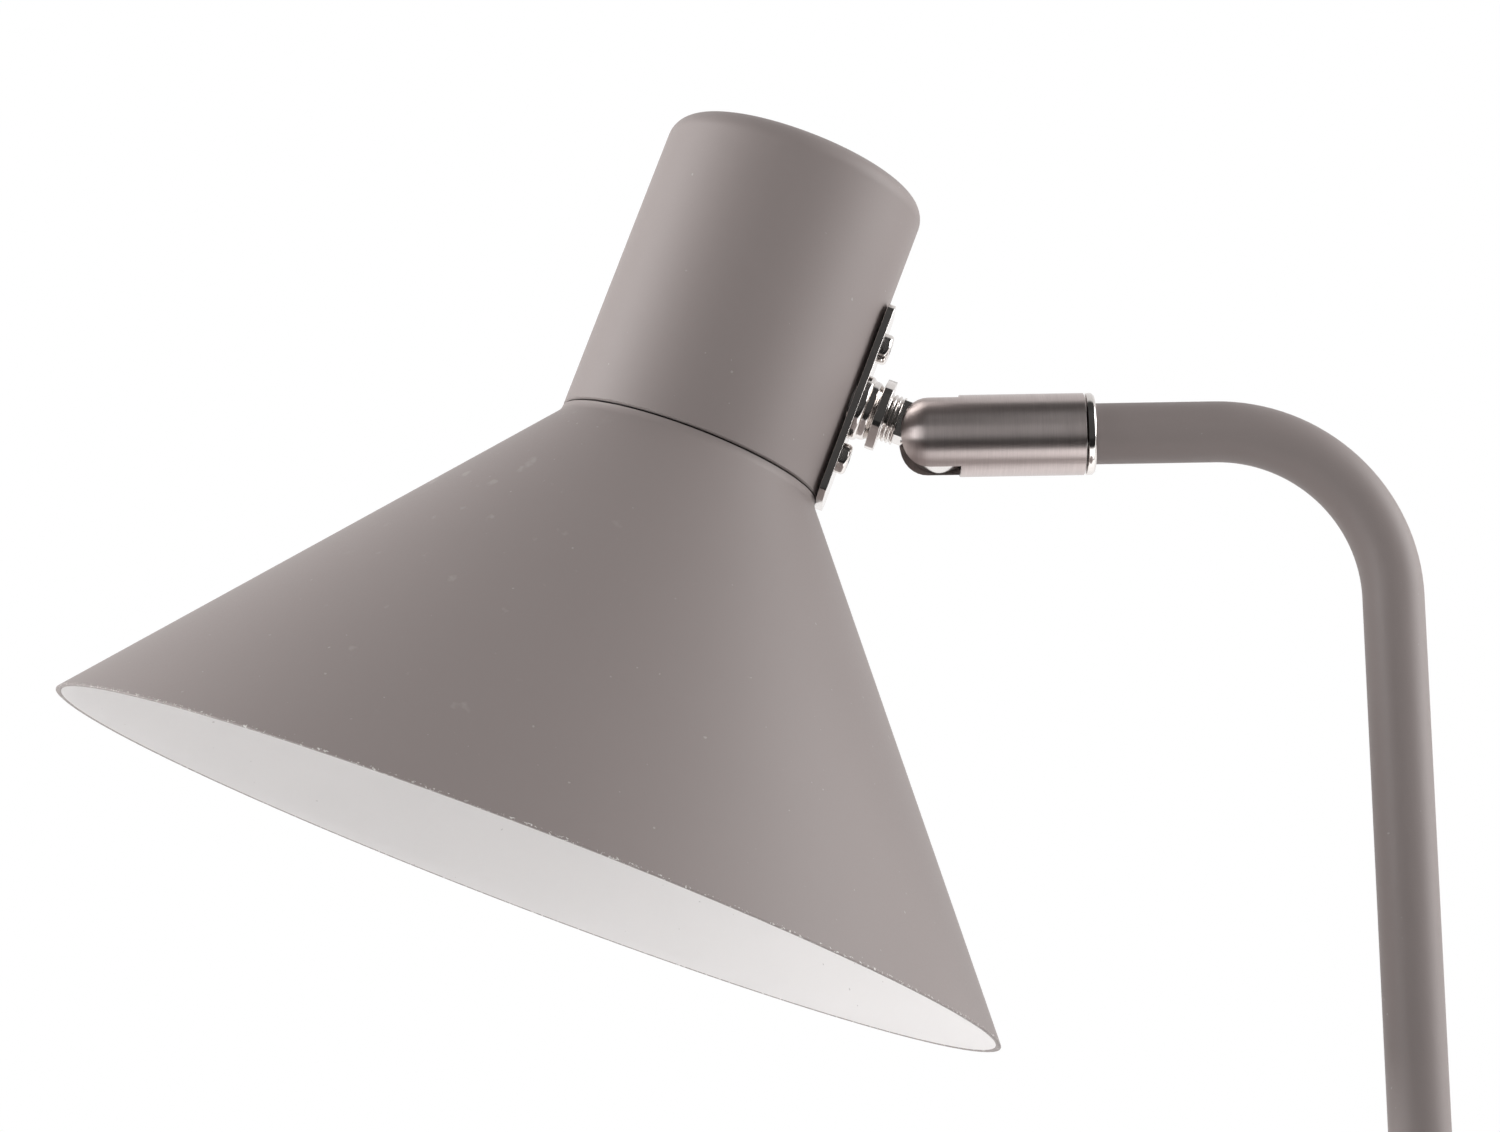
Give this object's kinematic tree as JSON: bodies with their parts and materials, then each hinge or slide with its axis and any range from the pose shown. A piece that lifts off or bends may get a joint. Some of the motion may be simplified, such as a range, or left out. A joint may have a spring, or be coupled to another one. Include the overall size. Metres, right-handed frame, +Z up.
{
  "type": "desk lamp",
  "caption": "Desk lamp with a wide conical shade and tall round cap on a swivel and tilt knuckle, a bent tube stem and a round weighted base.",
  "frame": {"origin": "centre of the base's underside", "axes": "+Z up; +X from the head towards the stem; the lamp is symmetric about the XZ plane"},
  "size_m": [0.3076, 0.1962, 0.4535],
  "materials": {
    "paint_grey": "matte warm grey powder paint",
    "shade_paint": "matte warm grey outside, white inside",
    "felt_pad": "black felt",
    "zinc_steel": "zinc plated",
    "cast_weight": "raw casting",
    "black_rubber": "moulded rubber",
    "ivory_plastic": "moulded",
    "brass_contact": "bare brass",
    "wire_sheath": "soft sheath",
    "polished_nickel": "bright nickel plate",
    "brushed_nickel": "brushed nickel plate",
    "black_holder": "heat resistant moulding",
    "holder_ceramic": "glazed insulator",
    "bulb_metal": "nickel plated",
    "bulb_black": "black glass",
    "bulb_opal": "opal"
  },
  "bodies": {
    "stand": {"base_pad": "felt_pad", "base_plate": "zinc_steel", "base_screws": "zinc_steel", "base_weight": "cast_weight", "base_cover": "paint_grey", "cable_gland": "black_rubber", "terminal_block": "ivory_plastic", "terminal_tubes": "brass_contact", "terminal_screws": "brass_contact", "stem_washer": "zinc_steel", "stem_nut": "zinc_steel", "stem_nipple": "zinc_steel", "stem_collar": "paint_grey", "stem_tube": "paint_grey", "stem_wires": "wire_sheath", "arm_nipple": "zinc_steel", "end_ring": "polished_nickel", "swivel_washer": "zinc_steel", "swivel_nut": "zinc_steel"},
    "knuckle": {"knuckle_sleeve": "brushed_nickel", "tilt_pin": "zinc_steel"},
    "head": {"tongue_stud": "polished_nickel", "stud_collar": "polished_nickel", "stud_nut": "polished_nickel", "stud_lock_nut": "zinc_steel", "mount_plate": "polished_nickel", "plate_screws": "polished_nickel", "cap_shell": "paint_grey", "holder_bracket": "zinc_steel", "holder_nipple": "zinc_steel", "holder_nut": "zinc_steel", "holder_dome": "black_holder", "holder_skirt": "black_holder", "holder_core": "holder_ceramic", "thread_shell": "brass_contact", "centre_contact": "brass_contact", "shade_ring": "black_holder", "shade_cone": "shade_paint", "head_wires": "wire_sheath"},
    "bulb": {"bulb_cap": "bulb_metal", "bulb_insulator": "bulb_black", "bulb_contact": "bulb_metal", "bulb_globe": "bulb_opal"}
  },
  "joints": [
    {"name": "arm_swivel", "type": "hinge", "parent": "stand", "child": "knuckle", "pos_m": [-0.0411, 0, 0.388], "axis": [1, 0, 0], "range_deg": [-170, 170]},
    {"name": "head_tilt", "type": "hinge", "parent": "knuckle", "child": "head", "pos_m": [-0.0411, 0, 0.388], "axis": [0, 1, 0], "range_deg": [-35, 65]},
    {"name": "bulb_out", "type": "slide", "parent": "head", "child": "bulb", "axis": [-0.3665, 0, -0.9304], "range_m": [0, 0.03]}
  ]
}
